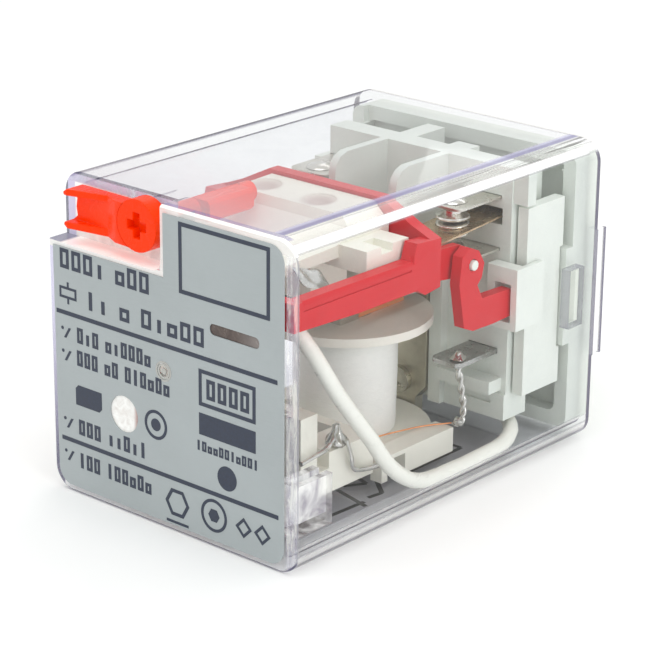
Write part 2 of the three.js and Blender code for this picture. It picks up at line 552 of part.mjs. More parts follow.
// ---- assembly ----
add('cover', coverShell(), 'clear');
add('label_foil', labelFoil(), 'foil');
add('diagram_label', diagramLabel(), 'sheet');
add('test_lever', testLever(), 'orange');
add('base_plate', basePlate(), 'grey');
pinPlaces().forEach((place, i) => add(`plug_pin_${i + 1}`, plugPin(place), 'tin'));
add('contact_block', contactBlock(), 'grey');
addPair('side_slab', sideSlab(), 'white');
addPair('hinge_block', hingeBlock(), 'white');
add('yoke', yokeAngle(), 'nickel');
add('yoke_rivet', yokeRivet(), 'steel');
add('coil_core', coilCore(), 'steel');
add('shading_ring', shadingRing(), 'copper');
add('bobbin', bobbin(), 'cream');
add('coil_winding', coilWinding(), 'tape');
addPair('solder_joint', solderJoint(), 'tin');
add('coil_start', coilStart(), 'tin');
add('coil_tail', coilTail(), 'tin');
addPair('coil_terminal', coilTerminal(), 'tin');
addPair('terminal_tail', terminalTail(), 'tin');
add('armature_plate', armaturePlate(), 'nickel');
add('armature_carrier', armatureCarrier(), 'cream');
add('actuator_frame', actuatorFrame(), 'red');
addPair('hinge_arm', hingeArm(), 'red');
addPair('hinge_pin', hingePin(), 'white');
add('carrier_tab', carrierTab(), 'tin');
addPair('upper_blade', contactBlade(blade.upper), 'nickel');
addPair('upper_contact', fixedContact(blade.upper, -1, 1.95), 'silver');
addPair('lower_blade', contactBlade(blade.lower), 'nickel');
addPair('lower_contact', fixedContact(blade.lower, 1, 1.53), 'silver');
addPair('leaf_spring', leafSpring(), 'bronze');
addPair('moving_contact', movingContact(), 'silver');
add('white_lead', whiteLead(), 'white');

relay.position.y = -plug.spigotTip / 2;

export default relay;
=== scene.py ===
"""Looks for the plug-in relay: materials, print, wires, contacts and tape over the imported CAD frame."""

import math
import random

import bmesh
import bpy
from mathutils import Matrix, Vector, noise


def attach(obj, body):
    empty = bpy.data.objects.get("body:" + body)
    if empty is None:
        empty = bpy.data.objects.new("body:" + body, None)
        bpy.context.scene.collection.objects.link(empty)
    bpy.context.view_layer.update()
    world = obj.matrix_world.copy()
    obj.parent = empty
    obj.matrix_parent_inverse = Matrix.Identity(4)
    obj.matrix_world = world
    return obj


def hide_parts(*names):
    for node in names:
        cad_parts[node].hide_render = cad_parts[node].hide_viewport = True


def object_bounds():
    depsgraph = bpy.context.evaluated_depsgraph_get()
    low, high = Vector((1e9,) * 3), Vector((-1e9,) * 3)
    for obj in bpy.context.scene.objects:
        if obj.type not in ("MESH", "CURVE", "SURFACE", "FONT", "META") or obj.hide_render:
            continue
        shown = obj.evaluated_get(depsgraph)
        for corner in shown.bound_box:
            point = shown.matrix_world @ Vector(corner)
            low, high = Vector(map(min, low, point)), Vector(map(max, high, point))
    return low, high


MM = 0.001
noise.seed_set(4)  # unseeded, noise_vector takes its offsets from the clock
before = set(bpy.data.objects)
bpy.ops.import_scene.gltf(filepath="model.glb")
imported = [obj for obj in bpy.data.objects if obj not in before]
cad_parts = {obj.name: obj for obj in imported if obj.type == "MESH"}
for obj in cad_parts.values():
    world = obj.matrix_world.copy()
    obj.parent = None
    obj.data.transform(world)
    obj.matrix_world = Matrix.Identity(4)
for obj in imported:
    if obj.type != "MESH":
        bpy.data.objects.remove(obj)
cad_low, cad_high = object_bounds()
FRONT = cad_low.y / MM
AXIS_HEIGHT = 17.8
PIN_CIRCLE_RADIUS = 8.725
NUMBER_CIRCLE_RADIUS = 12.6
POLE_CENTRE = 9.65
CONTACT_Y = 34.5
SHARP_DEGREES = 38
slot_of = {name: node.data.materials[0].name for name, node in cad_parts.items()}


def at(x, y, z):
    """A point in metres. x and z are row millimetres, y is millimetres behind the front of the relay."""
    return Vector((x * MM, (FRONT + y) * MM, z * MM))


# ---- camera, lights and stage ----
def make_camera():
    azimuth, elevation, roll, distance = 0.7186, 0.349, -0.0081, 0.271975
    back = Vector((
        math.sin(azimuth) * math.cos(elevation),
        -math.cos(azimuth) * math.cos(elevation),
        math.sin(elevation),
    ))
    data = bpy.data.cameras.new("camera")
    data.lens = 136.06
    data.sensor_width = 36
    data.clip_start, data.clip_end = 0.01, 20
    camera = bpy.data.objects.new("camera", data)
    camera.rotation_mode = "QUATERNION"
    camera.location = Vector((-0.0007564, -0.00759, 0.0160135)) + back * distance
    turn = Matrix.Rotation(-roll, 3, back)
    camera.rotation_quaternion = (turn @ (-back).to_track_quat("-Z", "Y").to_matrix()).to_quaternion()
    bpy.context.scene.collection.objects.link(camera)
    bpy.context.scene.camera = camera


def area_light(name, place, target, size, watts):
    data = bpy.data.lights.new(name, "AREA")
    data.shape = "RECTANGLE"
    data.size, data.size_y = size
    data.energy = watts
    light = bpy.data.objects.new(name, data)
    light.location = Vector(place)
    aim = Vector(target) - light.location
    light.rotation_mode = "QUATERNION"
    light.rotation_quaternion = aim.to_track_quat("-Z", "Y")
    bpy.context.scene.collection.objects.link(light)


def make_stage():
    scene = bpy.context.scene
    scene.view_settings.view_transform = "Standard"
    world = bpy.data.worlds.new("studio")
    scene.world = world
    world.use_nodes = True
    world.node_tree.nodes["Background"].inputs["Color"].default_value = (0.975, 0.985, 0.965, 1)
    world.node_tree.nodes["Background"].inputs["Strength"].default_value = 0.85
    middle = (0, 0, 0.018)
    area_light("key", (0.05, -0.1, 0.5), middle, (0.4, 0.3), 0.7)
    area_light("side", (0.42, -0.05, 0.2), middle, (0.2, 0.15), 0.45)
    area_light("fill", (-0.32, -0.3, 0.18), middle, (0.2, 0.2), 0.12)
    area_light("rear", (-0.1, 0.5, 0.35), middle, (0.6, 0.3), 0.55)


# ---- node helpers ----
class Shader:
    """A material's node tree with short calls for the nodes that the recipes share."""

    def __init__(self, name):
        self.material = bpy.data.materials.new(f"look_{name}")
        self.material.use_nodes = True
        self.tree = self.material.node_tree
        self.surface = self.tree.nodes["Principled BSDF"]
        self.output = self.tree.nodes["Material Output"]
        coordinates = self.tree.nodes.new("ShaderNodeTexCoord")
        scaled = self.tree.nodes.new("ShaderNodeVectorMath")
        scaled.operation = "SCALE"
        scaled.inputs["Scale"].default_value = 1 / MM
        self.link(coordinates.outputs["Object"], scaled.inputs[0])
        self.place = scaled.outputs[0]

    def link(self, source, target):
        self.tree.links.new(source, target)

    def stretched(self, factors):
        node = self.tree.nodes.new("ShaderNodeVectorMath")
        node.operation = "MULTIPLY"
        node.inputs[1].default_value = factors
        self.link(self.place, node.inputs[0])
        return node.outputs[0]

    def noise(self, per_mm, detail=3, rough=0.5, stretch=None, twist=0):
        node = self.tree.nodes.new("ShaderNodeTexNoise")
        node.inputs["Scale"].default_value = per_mm
        node.inputs["Detail"].default_value = detail
        node.inputs["Roughness"].default_value = rough
        node.inputs["Distortion"].default_value = twist
        self.link(self.stretched(stretch) if stretch else self.place, node.inputs["Vector"])
        return node.outputs["Fac"]

    def ranged(self, source, low, high, out_low, out_high):
        node = self.tree.nodes.new("ShaderNodeMapRange")
        values = (low, high, out_low, out_high)
        for name, value in zip(("From Min", "From Max", "To Min", "To Max"), values):
            node.inputs[name].default_value = value
        self.link(source, node.inputs["Value"])
        return node.outputs["Result"]

    def mixed(self, factor, first, second):
        """A colour mix. The colour sockets of this node are inputs 6 and 7 and output 2."""
        node = self.tree.nodes.new("ShaderNodeMix")
        node.data_type = "RGBA"
        self.link(factor, node.inputs["Factor"])
        for source, socket in ((first, node.inputs[6]), (second, node.inputs[7])):
            if isinstance(source, tuple):
                socket.default_value = (*source, 1)
            else:
                self.link(source, socket)
        return node.outputs[2]

    def bump(self, height, depth_mm):
        node = self.tree.nodes.new("ShaderNodeBump")
        node.inputs["Strength"].default_value = 1
        node.inputs["Distance"].default_value = depth_mm * MM
        self.link(height, node.inputs["Height"])
        if self.surface.inputs["Normal"].is_linked:
            self.link(self.surface.inputs["Normal"].links[0].from_socket, node.inputs["Normal"])
        self.link(node.outputs[0], self.surface.inputs["Normal"])

    def sums(self, operation, first, second):
        node = self.tree.nodes.new("ShaderNodeMath")
        node.operation = operation
        for source, socket in zip((first, second), node.inputs):
            if isinstance(source, (int, float)):
                socket.default_value = source
            else:
                self.link(source, socket)
        return node.outputs[0]

    def parts(self, vector):
        node = self.tree.nodes.new("ShaderNodeSeparateXYZ")
        self.link(vector, node.inputs[0])
        return node.outputs

    def band(self, value, low, high, soft):
        """A mask that is 1 where the value lies between low and high, with soft ends."""
        rise = self.ranged(value, low - soft, low + soft, 0, 1)
        fall = self.ranged(value, high - soft, high + soft, 1, 0)
        return self.sums("MULTIPLY", rise, fall)

    def set(self, **values):
        for name, value in values.items():
            socket = self.surface.inputs[name.replace("_", " ")]
            socket.default_value = (*value, 1) if isinstance(value, tuple) else value


def srgb(red, green, blue):
    """Linear colour from 0-255 screen values."""
    return tuple(
        c / 12.92 if c <= 0.04045 else ((c + 0.055) / 1.055) ** 2.4
        for c in (red / 255, green / 255, blue / 255)
    )


def shade(colour, factor):
    return tuple(min(1.0, c * factor) for c in colour)


def moulded_shader(name, colour, gloss=0.32, grain=0.004, spread=0.06, shine=0.5):
    """Injection-moulded plastic: faint flow mottling, fine grain, handling marks in the gloss."""
    s = Shader(name)
    flow = s.noise(0.12, 3, 0.6, twist=0.6)
    fine = s.noise(9, 4, 0.65)
    dull, bright = shade(colour, 1 - spread), shade(colour, 1 + spread / 2)
    tint = s.mixed(s.ranged(flow, 0.3, 0.7, 0, 1), dull, bright)
    specks = s.ranged(s.noise(3.2, 5, 0.7), 0.35, 0.7, 0, 1)
    s.link(s.mixed(specks, tint, shade(colour, 1 + spread / 3)), s.surface.inputs["Base Color"])
    marks = s.noise(0.9, 6, 0.72, stretch=(1, 0.25, 1), twist=0.8)
    s.link(s.ranged(marks, 0.25, 0.8, gloss - 0.09, gloss + 0.14), s.surface.inputs["Roughness"])
    s.bump(fine, grain)
    s.bump(s.noise(0.35, 2), grain * 6)
    s.set(IOR=1.53, Specular_IOR_Level=shine)
    return s


def moulded(name, colour, gloss, **details):
    return moulded_shader(name, colour, gloss, **details).material


def metal(name, colour, dark, gloss, grain=(1, 9, 1), depth=0.0006, painted_glow=None):
    """Rolled or plated metal: fine drawn grain, slight tarnish clouds and uneven gloss; an optional
    painted glow lights it from within.
    """
    s = Shader(name)
    clouds = s.noise(0.35, 4, 0.55, twist=0.6)
    lines = s.noise(1.2, 3, 0.55, stretch=grain)
    tint = s.mixed(s.ranged(clouds, 0.4, 0.8, 0, 0.8), colour, dark)
    drawn = s.mixed(s.ranged(lines, 0.3, 0.7, 0, 0.3), tint, shade(colour, 1.06))
    s.link(drawn, s.surface.inputs["Base Color"])
    marks = s.noise(0.9, 4, 0.6)
    s.link(s.ranged(marks, 0.3, 0.75, gloss - 0.06, gloss + 0.1), s.surface.inputs["Roughness"])
    s.bump(lines, depth)
    s.bump(clouds, depth * 6)
    s.set(Metallic=0.9)
    # Painted light: this emission makes the metal look more brightly lit than the lamps make it.
    if painted_glow:
        s.set(Emission_Color=painted_glow, Emission_Strength=0.22)
    return s.material


def clear_case(name):
    """Clear thin-walled plastic with painted light: painted milky highlights and painted violet shade on
    the rounded edges and wall ends, which also glow faintly.
    """
    s = Shader(name)
    coordinates = s.tree.nodes.new("ShaderNodeTexCoord")
    nx, ny, nz = s.parts(coordinates.outputs["Normal"])
    x, y, z = s.parts(s.place)
    front = s.band(y, FRONT - 1, FRONT + 0.9, 0.02)
    pocket_back = s.band(y, FRONT + 2.7, FRONT + 3.1, 0.02)
    right = s.ranged(x, 16.2, 16.4, 0, 1)
    left = s.ranged(x, -16.4, -16.2, 1, 0)
    top = s.ranged(z, 34, 34.2, 0, 1)
    floor = s.ranged(z, 3.1, 3.3, 1, 0)
    long_side = s.ranged(s.sums("ABSOLUTE", ny, 0), 0.3, 0.5, 1, 0)
    facing_front = s.ranged(ny, -0.8, -0.6, 1, 0)
    streaks = s.ranged(s.noise(0.8, 4, 0.6, stretch=(2, 2, 0.3), twist=1), 0.4, 0.6, 0, 1)
    waves = s.ranged(s.noise(0.25, 3, 0.5, twist=1.5), 0.35, 0.65, 0, 1)
    wisps = s.ranged(s.noise(0.5, 2, 0.5, stretch=(5, 0.14, 5), twist=0.4), 0.46, 0.58, 0, 1)
    far = s.ranged(y, FRONT + 14, FRONT + 34, 0, 1)

    def both(*masks):
        result = masks[0]
        for mask in masks[1:]:
            result = s.sums("MULTIPLY", result, mask)
        return result

    top_right = both(s.ranged(z, 32.6, 33, 0, 1), s.ranged(x, 14.8, 15.2, 0, 1), long_side)
    # Painted shade: the outline mask marks the rounded long edges at grazing angles, where the
    # see-through colour is darkened below.
    grazing = s.tree.nodes.new("ShaderNodeLayerWeight")
    off_side = s.ranged(s.sums("ABSOLUTE", nx, 0), 0.02, 0.04, 0, 1)
    off_top = s.ranged(s.sums("ABSOLUTE", nz, 0), 0.02, 0.04, 0, 1)
    curved = both(long_side, off_side, off_top, s.ranged(y, FRONT + 0.9, FRONT + 1, 0, 1))
    outline = both(curved, s.ranged(grazing.outputs["Facing"], 0.6, 0.72, 0, 1))
    low_right = both(floor, s.ranged(x, 14.8, 15.2, 0, 1), long_side)
    low_left = both(floor, s.ranged(x, -15.2, -14.8, 1, 0), long_side)
    pocket_floor = both(s.band(y, FRONT - 1, FRONT + 2.95, 0.02), s.ranged(nz, 0.9, 0.95, 0, 1),
                        s.band(z, 28, 28.8, 0.05))
    outside = s.ranged(s.sums("ABSOLUTE", x, 0), 17.3, 17.5, 0, 1)
    inner_guide = both(s.band(x, 13.6, 16.5, 0.05), s.band(y, FRONT + 1.5, FRONT + 7.1, 0.03),
                       s.band(z, 3.4, 9.4, 0.03))
    upper_face = both(s.ranged(z, 35.3, 35.4, 0, 1), s.ranged(nz, 0.95, 0.97, 0, 1))
    # Painted light: every colour layer below is painted onto the clear plastic. White and pearl are
    # painted highlights and milky glow. Violet, lavender, slate, ash and the greys are painted shade
    # lines and dark streaks. They sit at the rounded edges, wall ends, the pocket, the inner guides and
    # the rear rim, where real clear plastic bends light. The first layer is a painted grey veil over the
    # front of the top face, fading towards the back.
    white, pearl = srgb(255, 255, 252), srgb(226, 224, 222)
    violet, slate = srgb(132, 126, 172), srgb(58, 52, 92)
    lavender, ash = srgb(196, 192, 222), srgb(150, 150, 158)
    veil_grey, rim_grey = srgb(186, 174, 184), srgb(92, 88, 108)
    layers = [
        (both(upper_face, s.ranged(y, FRONT + 2, FRONT + 18, 1, 0.15)), veil_grey, 0.45),
        (both(upper_face, s.band(x, 13.6, 15.5, 0.2)), srgb(166, 162, 202), 0.65),
        (both(upper_face, s.band(x, 14.1, 15.05, 0.2)), srgb(108, 102, 150), 0.85),
        (both(top_right, s.ranged(nz, 0.8, 0.84, 0, 1)), pearl, 0.25),
        (both(top_right, s.ranged(nz, 0.8, 0.84, 0, 1), far, wisps), srgb(70, 68, 66), 0.85),
        (both(top_right, s.band(nz, 0.6, 0.81, 0.02)), white, 0.96),
        (both(top_right, s.band(nz, 0.5, 0.58, 0.03)), ash, 0.3),
        (both(low_right, s.band(nz, -0.9, -0.1, 0.06)), pearl, 0.35),
        (both(low_right, s.band(nz, -0.16, -0.06, 0.02)), ash, 0.45),
        (both(low_right, s.band(nz, -0.62, -0.5, 0.03)), ash, 0.35),
        (both(low_left, s.band(nz, -0.9, -0.1, 0.06)), pearl, 0.35),
        (both(front, facing_front, right), lavender, 0.2),
        (both(front, facing_front, right, streaks), white, 0.4),
        (both(front, s.band(ny, -0.8, -0.3, 0.1), s.ranged(x, 16.9, 17.1, 0, 1)), ash, 0.6),
        (both(front, facing_front, left), lavender, 0.75),
        (both(front, facing_front, left, s.ranged(z, 4, 22, 1, 0)), slate, 0.85),
        (both(front, facing_front, top), pearl, 0.75),
        (both(front, facing_front, s.band(x, -1.1, -0.45, 0.05), s.ranged(z, 28, 28.2, 0, 1)),
         pearl, 0.8),
        (both(front, facing_front, s.band(z, 27.7, 28.6, 0.05), s.ranged(x, -0.6, -0.4, 1, 0)),
         pearl, 0.96),
        (both(s.band(y, FRONT + 0.62, FRONT + 1.35, 0.08), s.ranged(nz, 0.9, 0.95, 0, 1), top),
         violet, 0.6),
        (both(s.band(y, FRONT + 0.2, FRONT + 0.6, 0.05), s.ranged(nz, 0.25, 0.4, 0, 1), top),
         white, 0.85),
        (both(s.band(y, FRONT + 0.15, FRONT + 0.55, 0.05), floor, s.ranged(nz, -0.4, -0.25, 1, 0)),
         slate, 0.75),
        (both(pocket_back, facing_front), white, 0.94),
        (both(pocket_back, facing_front, s.ranged(z, 30.4, 32.8, 1, 0), waves), pearl, 0.94),
        (both(pocket_back, facing_front, left), lavender, 0.9),
        (both(pocket_back, facing_front, s.ranged(z, 34.3, 34.5, 0, 1)), lavender, 0.9),
        (both(pocket_back, facing_front, s.ranged(z, 34.3, 34.5, 0, 1), waves), violet, 0.5),
        (both(pocket_back, facing_front, s.ranged(z, 35.2, 35.3, 0, 1)), slate, 0.7),
        (both(pocket_back, facing_front, s.ranged(x, -17.45, -17.35, 1, 0)), slate, 0.8),
        (pocket_floor, white, 0.96),
        (both(pocket_floor, s.ranged(x, -16.1, -15.6, 1, 0)), srgb(104, 102, 132), 0.85),
        (both(inner_guide, s.ranged(nx, -0.3, 0.3, 0, 1)), srgb(192, 188, 206), 0.8),
        (both(inner_guide, s.ranged(nz, -0.5, 0.5, 0, 1)), srgb(70, 52, 48), 0.6),
        (both(inner_guide, waves), white, 0.6),
        (both(s.band(y, FRONT + 49.8, FRONT + 50.6, 0.04), outside), rim_grey, 0.8),
        (both(s.band(y, FRONT + 50.05, FRONT + 50.6, 0.04), s.ranged(z, 35.3, 35.5, 0, 1)),
         pearl, 0.8),
        (both(s.ranged(y, FRONT + 51.7, FRONT + 51.8, 0, 1), outside), srgb(104, 100, 122), 0.75),
        (both(s.band(y, FRONT + 45.2, FRONT + 48.5, 0.02), s.band(z, 14.2, 21.9, 0.02),
              s.ranged(s.sums("ABSOLUTE", nx, 0), 0.5, 0.7, 1, 0)), ash, 0.6),
    ]
    tint, cover = None, 0.0
    for mask, colour, strength in layers:
        tint = colour if tint is None else s.mixed(mask, tint, colour)
        rest = s.sums("SUBTRACT", 1, mask)
        cover = s.sums("ADD", s.sums("MULTIPLY", cover, rest), s.sums("MULTIPLY", mask, strength))
    s.link(tint, s.surface.inputs["Base Color"])
    # Painted light: the tint also feeds the emission, so the painted layers glow faintly.
    s.link(tint, s.surface.inputs["Emission Color"])
    s.set(Roughness=0.12, IOR=1.5, Emission_Strength=0.12)
    through = s.tree.nodes.new("ShaderNodeBsdfTransparent")
    haze = s.ranged(s.noise(0.3, 5, 0.7, twist=1.2), 0.35, 0.75, 0, 1)
    pane = s.mixed(haze, (0.985, 0.988, 0.995), (0.965, 0.97, 0.98))
    # Painted shade: along the outline the see-through colour turns dark violet.
    s.link(s.mixed(outline, pane, (0.2, 0.19, 0.27)), through.inputs["Color"])
    shine = s.tree.nodes.new("ShaderNodeBsdfGlossy")
    s.link(s.ranged(s.noise(1.5, 6, 0.75), 0.4, 0.8, 0.02, 0.07), shine.inputs["Roughness"])
    ripple = s.tree.nodes.new("ShaderNodeBump")
    ripple.inputs["Distance"].default_value = 0.006 * MM
    s.link(s.noise(0.09, 2), ripple.inputs["Height"])
    s.link(ripple.outputs[0], shine.inputs["Normal"])
    fresnel = s.tree.nodes.new("ShaderNodeFresnel")
    fresnel.inputs["IOR"].default_value = 1.42
    outward = s.sums("SUBTRACT", 1, s.tree.nodes.new("ShaderNodeNewGeometry").outputs["Backfacing"])
    glass = s.tree.nodes.new("ShaderNodeMixShader")
    s.link(s.sums("MULTIPLY", fresnel.outputs[0], outward), glass.inputs[0])
    s.link(through.outputs[0], glass.inputs[1])
    s.link(shine.outputs[0], glass.inputs[2])
    mix = s.tree.nodes.new("ShaderNodeMixShader")
    s.link(cover, mix.inputs[0])
    s.link(glass.outputs[0], mix.inputs[1])
    s.link(s.surface.outputs[0], mix.inputs[2])
    s.link(mix.outputs[0], s.output.inputs["Surface"])
    return s.material


def foil_finish():
    s = Shader("label_foil")
    brushed = s.noise(1.3, 5, 0.6, stretch=(0.4, 1, 9))
    clouds = s.noise(0.08, 3, 0.5, twist=0.5)
    silver = srgb(166, 173, 175)
    tint = s.mixed(s.ranged(clouds, 0.3, 0.7, 0, 1), shade(silver, 0.95), shade(silver, 1.04))
    lines = s.mixed(s.ranged(brushed, 0.3, 0.7, 0, 0.5), tint, shade(silver, 1.07))
    s.link(lines, s.surface.inputs["Base Color"])
    s.link(s.ranged(s.noise(2.2, 5, 0.7), 0.3, 0.7, 0.34, 0.5), s.surface.inputs["Roughness"])
    s.bump(brushed, 0.002)
    s.set(Metallic=0.25)
    return s.material


def ink_finish(name, colour):
    s = Shader(name)
    patches = s.noise(2.4, 5, 0.7)
    s.link(
        s.mixed(s.ranged(patches, 0.3, 0.75, 0, 1), shade(colour, 0.8), shade(colour, 1.35)),
        s.surface.inputs["Base Color"],
    )
    s.link(s.ranged(patches, 0.3, 0.7, 0.38, 0.55), s.surface.inputs["Roughness"])
    s.bump(s.noise(14, 3), 0.002)
    return s.material


def tape_finish():
    s = Shader("coil_tape")
    creases = s.noise(0.7, 5, 0.6, stretch=(1, 1, 3), twist=1.5)
    white = srgb(248, 248, 243)
    # Painted shade: the tape is a little darker where its crease bump dips.
    painted_crease_shade = s.mixed(s.ranged(creases, 0.3, 0.75, 0, 1), shade(white, 0.95), white)
    s.link(painted_crease_shade, s.surface.inputs["Base Color"])
    s.link(s.ranged(s.noise(1.5, 4), 0.3, 0.7, 0.35, 0.6), s.surface.inputs["Roughness"])
    s.bump(creases, 0.05)
    s.bump(s.noise(8, 3), 0.004)
    return s.material


def sheet_finish():
    s = Shader("diagram_sheet")
    fibre = s.noise(3, 6, 0.7, twist=0.6)
    grey = srgb(212, 210, 213)
    s.link(s.mixed(fibre, shade(grey, 0.92), shade(grey, 1.08)), s.surface.inputs["Base Color"])
    s.link(s.ranged(fibre, 0.3, 0.7, 0.45, 0.6), s.surface.inputs["Roughness"])
    s.bump(fibre, 0.004)
    return s.material


def stage_finish():
    s = Shader("stage_paper")
    fibre = s.noise(0.05, 4, 0.6)
    s.link(s.mixed(fibre, (0.93, 0.935, 0.94), (0.97, 0.97, 0.97)), s.surface.inputs["Base Color"])
    s.link(s.ranged(fibre, 0, 1, 0.6, 0.8), s.surface.inputs["Roughness"])
    s.bump(s.noise(1.5, 4), 0.01)
    return s.material


CREAM = srgb(240, 238, 226)
finishes = {
    "clear_plastic": clear_case("clear_plastic"),
    "label_foil": foil_finish(),
    "diagram_sheet": sheet_finish(),
    "orange_plastic": moulded("orange_plastic", srgb(255, 58, 0), 0.24, spread=0.05, shine=0.12),
    "red_plastic": moulded("red_plastic", srgb(212, 22, 34), 0.34, spread=0.06, shine=0.24),
    "grey_plastic": moulded("grey_plastic", srgb(223, 228, 220), 0.42),
    "white_plastic": moulded("white_plastic", srgb(232, 236, 228), 0.38),
    "cream_plastic": moulded("cream_plastic", CREAM, 0.42),
    "coil_tape": tape_finish(),
    "lead_insulation": moulded("lead_insulation", srgb(244, 244, 234), 0.3, spread=0.04),
    "nickel_plate": metal("nickel_plate", srgb(214, 211, 202), srgb(188, 182, 168), 0.3),
    "steel": metal("steel", srgb(212, 208, 198), srgb(176, 170, 158), 0.32),
    # The copper has a painted glow (emission) that brightens it.
    "copper": metal("copper", srgb(238, 166, 112), srgb(184, 110, 70), 0.3, grain=(1, 14, 14),
                    depth=0.002, painted_glow=srgb(226, 150, 104)),
    "spring_bronze": metal("spring_bronze", srgb(206, 184, 152), srgb(170, 136, 100), 0.26),
    "silver_contact": metal("silver_contact", srgb(232, 230, 224), srgb(190, 178, 158), 0.18),
    "tinned_metal": metal("tinned_metal", srgb(222, 221, 216), srgb(132, 130, 124), 0.17),
    "plug_pin": metal("plug_pin", srgb(212, 211, 205), srgb(170, 164, 150), 0.2),
}


def carrier_finish():
    """The cream moulding, with soft painted shade in and around the two dimples on its upper face."""
    s = moulded_shader("carrier_cream", CREAM, 0.42)
    x, y, z = s.parts(s.place)
    colour = s.surface.inputs["Base Color"].links[0].from_socket
    for centre_x, centre_y in ((-5.5, 20.7), (2.5, 20.5)):
        across = s.sums("SUBTRACT", x, centre_x)
        along = s.sums("SUBTRACT", y, FRONT + centre_y)
        squares = s.sums("ADD", s.sums("MULTIPLY", across, across), s.sums("MULTIPLY", along, along))
        inside, upper = s.ranged(squares, 1, 5.2, 0.9, 0), s.ranged(z, 31, 31.5, 0, 1)
        shade_mask = s.sums("MULTIPLY", inside, upper)
        colour = s.mixed(shade_mask, colour, srgb(192, 170, 162))
    s.link(colour, s.surface.inputs["Base Color"])
    return s.material


special = {
    "armature_carrier": carrier_finish(),
    "yoke": metal("yoke_plate", srgb(196, 190, 168), srgb(156, 150, 128), 0.36),
    "yoke_rivet": metal("rivet_steel", srgb(206, 202, 184), srgb(120, 116, 100), 0.22),
    "coil_terminal_right": metal("terminal_plate", srgb(176, 176, 172), srgb(128, 127, 122), 0.24),
}
special["coil_terminal_left"] = special["coil_terminal_right"]
ink = ink_finish("label_ink", srgb(42, 50, 68))
black_ink = ink_finish("diagram_ink", srgb(14, 15, 18))


# ---- CAD nodes: rounded edges and smooth shading ----
def shading_group(angle):
    """Smooth faces with sharp edges above the angle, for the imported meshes."""
    group = bpy.data.node_groups.new("shade_by_angle", "GeometryNodeTree")
    for direction in ("INPUT", "OUTPUT"):
        group.interface.new_socket("Geometry", in_out=direction, socket_type="NodeSocketGeometry")
    start = group.nodes.new("NodeGroupInput")
    end = group.nodes.new("NodeGroupOutput")
    plain = group.nodes.new("GeometryNodeRemoveAttribute")
    plain.inputs["Name"].default_value = "custom_normal"
    edge_angle = group.nodes.new("GeometryNodeInputMeshEdgeAngle")
    below = group.nodes.new("FunctionNodeCompare")
    below.operation = "LESS_EQUAL"
    below.inputs[1].default_value = angle
    faces = group.nodes.new("GeometryNodeSetShadeSmooth")
    edges = group.nodes.new("GeometryNodeSetShadeSmooth")
    edges.domain = "EDGE"
    group.links.new(start.outputs[0], plain.inputs[0])
    group.links.new(plain.outputs[0], faces.inputs[0])
    group.links.new(faces.outputs[0], edges.inputs[0])
    group.links.new(edge_angle.outputs[0], below.inputs[0])
    group.links.new(below.outputs[0], edges.inputs["Shade Smooth"])
    group.links.new(edges.outputs[0], end.inputs[0])
    return group


by_angle = shading_group(math.radians(SHARP_DEGREES))


def finish_node(node, slot, bevel_mm):
    """Adds the look of a CAD node. A delicate node gets a bevel that stops before it overlaps."""
    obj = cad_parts[node]
    weld = obj.modifiers.new("weld", "WELD")
    weld.merge_threshold = 2e-6
    planar = obj.modifiers.new("planar", "DECIMATE")
    planar.decimate_type = "DISSOLVE"
    planar.angle_limit = math.radians(1)
    if bevel_mm:
        bevel = obj.modifiers.new("edges", "BEVEL")
        bevel.width = bevel_mm * MM
        bevel.segments = 2
        bevel.limit_method = "ANGLE"
        bevel.angle_limit = math.radians(SHARP_DEGREES)
        bevel.use_clamp_overlap = node in delicate
    shading = obj.modifiers.new("shading", "NODES")
    shading.node_group = by_angle
    flatten = obj.modifiers.new("flatten", "WEIGHTED_NORMAL")
    flatten.keep_sharp = True
    flatten.weight = 90
    obj.material_slots[0].material = special.get(node, finishes[slot])


delicate = ("actuator_frame", "armature_carrier", "base_plate", "bobbin", "contact_block")
rounding = {
    "cover": 0.0, "label_foil": 0.03, "diagram_label": 0.02, "test_lever": 0.1, "base_plate": 0.08,
    "contact_block": 0.12, "bobbin": 0.12, "actuator_frame": 0.14, "armature_carrier": 0.1,
}
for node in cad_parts:
    finish_node(node, slot_of[node], rounding.get(node, 0.06))


# ---- new pieces ----
def new_piece(name, mesh_builder, slot, body, replaced=(), material=None, angle=SHARP_DEGREES):
    """Makes an object from a bmesh function, shades it by angle and puts it on its body."""
    mesh = bpy.data.meshes.new(name)
    bm = bmesh.new()
    mesh_builder(bm)
    bmesh.ops.recalc_face_normals(bm, faces=bm.faces)
    for face in bm.faces:
        face.smooth = True
    bm.to_mesh(mesh)
    bm.free()
    mesh.set_sharp_from_angle(angle=math.radians(angle))
    obj = bpy.data.objects.new(name, mesh)
    bpy.context.scene.collection.objects.link(obj)
    mesh.materials.append(material or finishes[slot])
    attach(obj, body)
    if replaced:
        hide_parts(*replaced)


def plate(bm, outline, y_front, y_back):
    """A flat closed piece facing the label side: outline of (x, z) points in mm."""
    rings = [[bm.verts.new(at(x, y, z)) for x, z in outline] for y in (y_front, y_back)]
    bm.faces.new(rings[0])
    bm.faces.new(list(reversed(rings[1])))
    for i in range(len(outline)):
        j = (i + 1) % len(outline)
        bm.faces.new((rings[0][i], rings[1][i], rings[1][j], rings[0][j]))


def ring_plate(bm, outer, inner, y_front, y_back):
    """A flat closed frame between two outlines that have the same number of points."""
    loops = [
        [bm.verts.new(at(x, y, z)) for x, z in outline]
        for outline, y in ((outer, y_front), (inner, y_front), (inner, y_back), (outer, y_back))
    ]
    for k in range(4):
        first, second = loops[k], loops[(k + 1) % 4]
        for i in range(len(outer)):
            j = (i + 1) % len(outer)
            bm.faces.new((first[i], first[j], second[j], second[i]))


